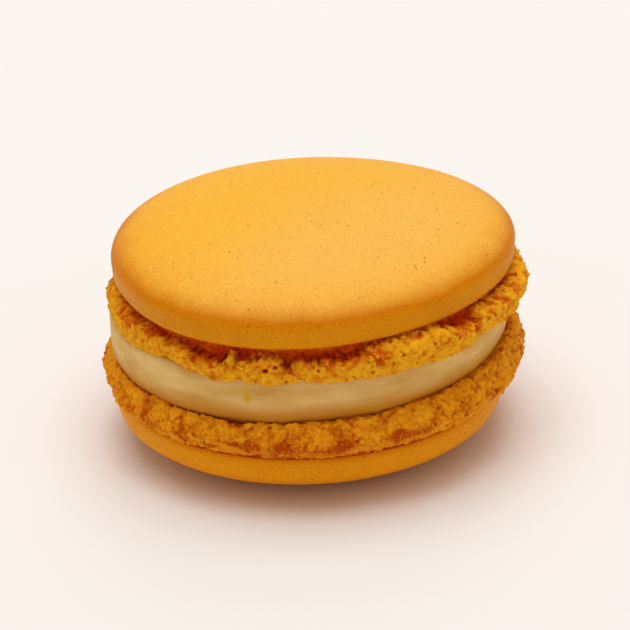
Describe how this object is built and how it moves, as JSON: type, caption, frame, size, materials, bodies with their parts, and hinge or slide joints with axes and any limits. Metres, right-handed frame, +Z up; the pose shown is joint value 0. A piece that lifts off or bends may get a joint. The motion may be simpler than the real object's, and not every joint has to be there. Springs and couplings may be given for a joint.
{
  "type": "macaron",
  "caption": "Round sandwich biscuit of two smooth, ruffle-footed meringue shells with a layer of cream between them.",
  "frame": {"origin": "middle of the flat spot on the lower shell's crown, which the macaron stands on", "axes": "+Z up, through the stack from the lower shell to the upper one; +X towards the side where the feet lean out and the stack is a little higher"},
  "size_m": [0.0471, 0.0472, 0.0265],
  "materials": {
    "meringue": "satin",
    "cream": "satin"
  },
  "bodies": {
    "root": {"shell_bottom": "meringue", "filling": "cream", "shell_top": "meringue"}
  },
  "joints": []
}
